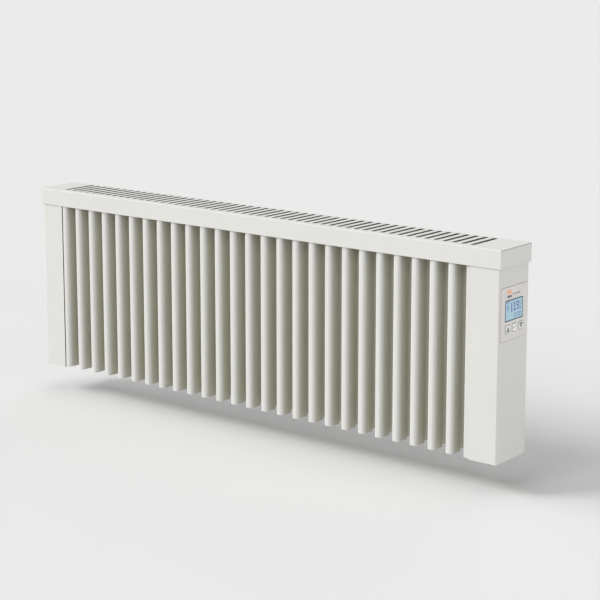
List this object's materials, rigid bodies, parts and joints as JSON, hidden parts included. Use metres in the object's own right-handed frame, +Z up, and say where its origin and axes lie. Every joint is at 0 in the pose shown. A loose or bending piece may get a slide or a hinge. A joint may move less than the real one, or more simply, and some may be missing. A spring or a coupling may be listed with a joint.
{
  "type": "electric wall heater",
  "caption": "Long, low wall-hung electric storage heater with vertical round-nosed fins, a slotted lift-off top cover and an end controller with a display and three keys.",
  "frame": {"origin": "on the vertical middle plane, midway between the top cover's front and the wall, level with the bottom of the end covers", "axes": "+X along the heater towards the controller end, +Y from the room to the wall, +Z up"},
  "size_m": [1.18, 0.12, 0.395],
  "materials": {
    "painted": "satin",
    "galvanised": "satin",
    "reflector": "satin",
    "fireclay": "matte",
    "element": "satin",
    "fascia": "matte",
    "window": "gloss",
    "display": "satin",
    "key": "satin",
    "silicone": "matte",
    "board": "satin",
    "dark_plastic": "matte",
    "ceramic": "satin",
    "insulation": "satin"
  },
  "bodies": {
    "wall_brackets": {"wall_bracket_left": "galvanised", "wall_bracket_right": "galvanised"},
    "heater": {"left_end_cover": "painted", "right_end_cover": "painted", "fin_01": "painted", "fin_02": "painted", "fin_03": "painted", "fin_04": "painted", "fin_05": "painted", "fin_06": "painted", "fin_07": "painted", "fin_08": "painted", "fin_09": "painted", "fin_10": "painted", "fin_11": "painted", "fin_12": "painted", "fin_13": "painted", "fin_14": "painted", "fin_15": "painted", "fin_16": "painted", "fin_17": "painted", "fin_18": "painted", "fin_19": "painted", "fin_20": "painted", "fin_21": "painted", "fin_22": "painted", "fin_23": "painted", "fin_24": "painted", "fin_25": "painted", "fin_26": "painted", "fin_27": "painted", "front_plate": "painted", "back_panel": "painted", "bottom_grille": "painted", "left_bulkhead": "galvanised", "right_bulkhead": "galvanised", "core_rail": "galvanised", "hanging_rail": "galvanised", "heat_shield": "reflector", "core_plate_1": "fireclay", "core_plate_2": "fireclay", "core_plate_3": "fireclay", "heating_element_1": "element", "heating_element_2": "element", "heating_element_3": "element", "fascia": "fascia", "display_window": "window", "display_module": "display", "key_mat": "silicone", "control_board": "board", "control_housing": "dark_plastic", "thermal_cutout": "dark_plastic", "cable_gland": "dark_plastic", "terminal_block": "ceramic", "supply_lead": "insulation", "heater_lead": "insulation"},
    "top_cover": {"top_grille": "painted"},
    "key_up": {"key_up": "key"},
    "key_ok": {"key_ok": "key"},
    "key_down": {"key_down": "key"}
  },
  "joints": [
    {"name": "heater_unhook", "type": "slide", "parent": "wall_brackets", "child": "heater", "axis": [0, 0, 1], "range_m": [0, 0.014]},
    {"name": "top_cover_lift", "type": "slide", "parent": "heater", "child": "top_cover", "axis": [0, 0, 1], "range_m": [0, 0.045]},
    {"name": "key_up_press", "type": "slide", "parent": "heater", "child": "key_up", "axis": [-1, 0, 0], "range_m": [0, 0.0008], "stiffness_N_per_m": 900, "springref_m": -0.0006},
    {"name": "key_ok_press", "type": "slide", "parent": "heater", "child": "key_ok", "axis": [-1, 0, 0], "range_m": [0, 0.0008], "stiffness_N_per_m": 900, "springref_m": -0.0006},
    {"name": "key_down_press", "type": "slide", "parent": "heater", "child": "key_down", "axis": [-1, 0, 0], "range_m": [0, 0.0008], "stiffness_N_per_m": 900, "springref_m": -0.0006}
  ]
}
